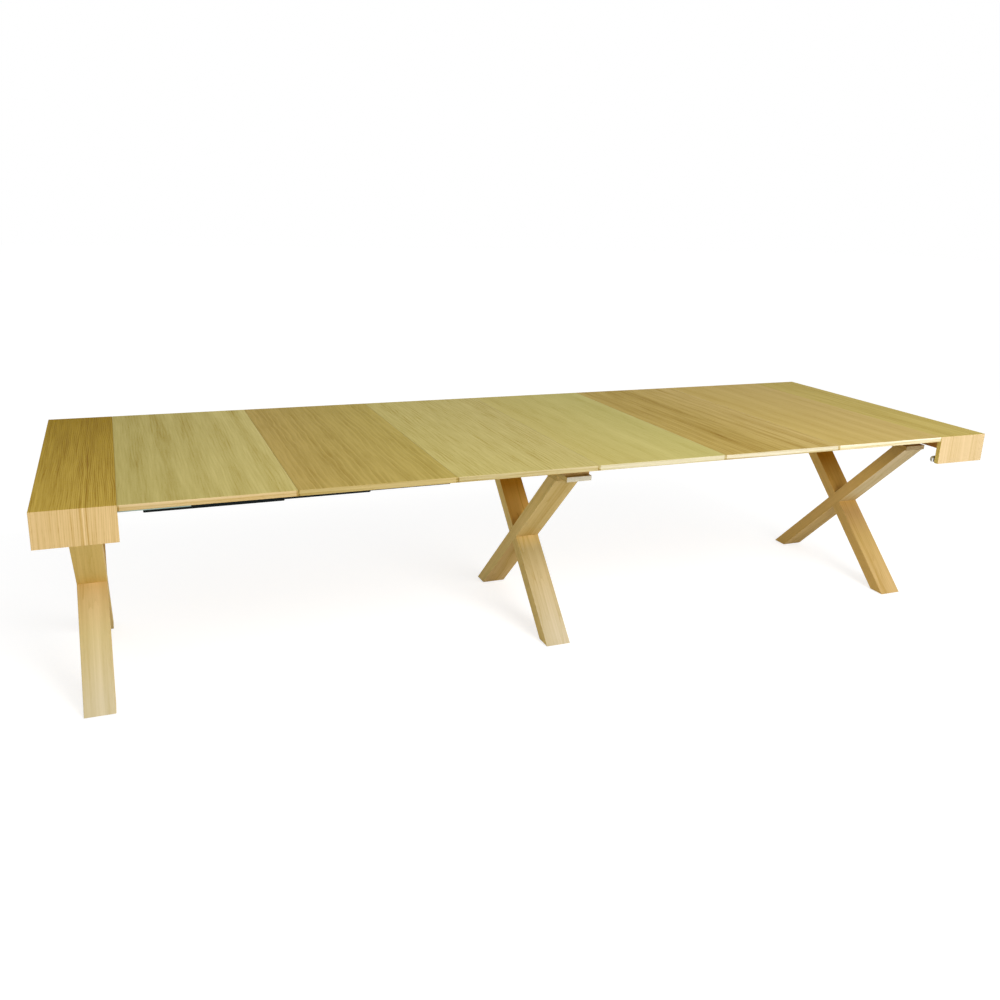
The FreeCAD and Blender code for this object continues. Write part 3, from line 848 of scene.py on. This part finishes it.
def zinc_plate(name, tone):
    """Steel under a cloudy coat of zinc, with a few fine scratches."""
    material, shader, start = new_finish(name, metal_gloss)
    shader.inputs["Metallic"].default_value = 1.0
    x, y, z = surface_point(start)
    cloud = stretched_noise(x, y, z, zinc_clouds, detail=3.0, seed=3.0)
    hairlines = stretched_noise(x, y, z, scratch_marks, detail=0.0, seed=5.0)
    scratch = flecks(hairlines, scratch_limit, scratch_gain)
    brightness = (cloud + scratch_tone * scratch).clamped()
    brightness.ramp(shades(tone, ZINC_SHADES)).feed(shader, "Base Color")
    (zinc_rough + cloud_rough * cloud - scratch_rough * scratch).feed(shader, "Roughness")
    return material


black_nylon = moulded("black_nylon", swatch(35, 35, 35))
zinc_steel = zinc_plate("zinc_steel", swatch(195, 200, 205))
for name in ("left", "centre", "right"):
    dress(f"{name}_foot_pads", black_nylon)
    dress(f"{name}_screws", zinc_steel)
for node in ("left_catch_keepers", "right_catch_plates", "front_catch_hook", "back_catch_hook"):
    dress(node, zinc_steel)
print("dressed pads, screws and catches")

# %% [markdown]
# ## End plugs
# A pressed member is open at its ends, so each end is closed with a black moulded plug: a thin
# flange under the groove, dished on its outer face, and a spigot pushed into the hollow. It could
# be drawn as one outline and extruded, but it is quicker to start from a cube, draw the spigot out
# of one face, inset and sink the opposite face, and bevel all the edges.

# %% One plug
flange_thick, flange_wide, flange_high = 0.002, 0.012, 0.021
dish_border, dish_depth = 0.0018, 0.0007
spigot_inset, spigot_long, spigot_high, spigot_lift = 0.0032, 0.008, 0.0128, 0.0022
plug_arris, arris_steps, facing = 0.0003, 2, 0.9


def choose_face(plug, direction):
    """Select only the face that looks along X in the given direction."""
    bpy.ops.object.mode_set(mode="OBJECT")
    for face in plug.data.polygons:
        face.select = face.normal.x * direction > facing
    bpy.ops.object.mode_set(mode="EDIT")


def model_plug():
    """One plug: dish to negative X, spigot to positive X, inner side of the flange at x = 0."""
    bpy.ops.object.select_all(action="DESELECT")
    bpy.ops.mesh.primitive_cube_add(size=1.0)
    plug = bpy.context.object
    bpy.ops.object.mode_set(mode="EDIT")
    bpy.ops.mesh.select_mode(type="FACE")
    bpy.ops.mesh.select_all(action="SELECT")
    bpy.ops.transform.resize(value=(flange_thick, flange_wide, flange_high))
    bpy.ops.transform.translate(value=(-flange_thick / 2, 0.0, 0.0))
    choose_face(plug, 1.0)
    bpy.ops.mesh.inset(thickness=spigot_inset)
    bpy.ops.transform.resize(value=(1.0, 1.0, spigot_high / (flange_high - 2.0 * spigot_inset)))
    bpy.ops.transform.translate(value=(0.0, 0.0, spigot_lift))
    bpy.ops.mesh.extrude_region_move(TRANSFORM_OT_translate={"value": (spigot_long, 0.0, 0.0)})
    choose_face(plug, -1.0)
    bpy.ops.mesh.inset(thickness=dish_border)
    bpy.ops.mesh.extrude_region_move(TRANSFORM_OT_translate={"value": (dish_depth, 0.0, 0.0)})
    bpy.ops.mesh.select_all(action="SELECT")
    bpy.ops.mesh.normals_make_consistent(inside=False)
    bpy.ops.object.mode_set(mode="OBJECT")
    arris = plug.modifiers.new("arris", "BEVEL")
    arris.width, arris.segments = plug_arris, arris_steps
    bpy.ops.object.modifier_apply(modifier=arris.name)
    return plug


pattern = model_plug()
pattern.data.materials.append(black_nylon)
print("modelled one plug with", len(pattern.data.polygons), "faces")

# %% [markdown]
# ## Plugs on the slides
# Every stage has a front and a back member, so four ends. Linked copies would share one mesh, but
# then the place of a plug could not be in its mesh. So each end gets a copy with its own mesh,
# turned and moved there, and the four are joined into one piece that rides on its stage.

# %% Plugs on the slides
flange_lift, member_wide = 0.0006, 0.0126


def plug_stage(pattern, node):
    """Copies of the plug on the four member ends of one slide stage, joined into one piece."""
    low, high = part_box(node)
    height = low.z + flange_lift + flange_high / 2
    plugs = []
    for end, turn in ((low.x, 0.0), (high.x, math.pi)):
        for middle in (low.y + member_wide / 2, high.y - member_wide / 2):
            plug = pattern.copy()
            plug.data = pattern.data.copy()
            bpy.context.scene.collection.objects.link(plug)
            place = Matrix.Translation((end, middle, height)) @ Matrix.Rotation(turn, 4, "Z")
            plug.data.transform(place)
            plugs.append(plug)
    bpy.ops.object.select_all(action="DESELECT")
    for plug in plugs:
        plug.select_set(True)
    bpy.context.view_layer.objects.active = plugs[0]
    bpy.ops.object.join()
    plugs[0].name = f"{node}_end_plugs"
    return plugs[0]


for name in ("left", "right"):
    for stage in stages:
        plugs = plug_stage(pattern, f"{name}_stage_{stage}")
        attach(plugs, f"{name}_slide_stage_{stage}")
bpy.data.objects.remove(pattern)
print("plugged", 2 * len(stages), "slide stages")
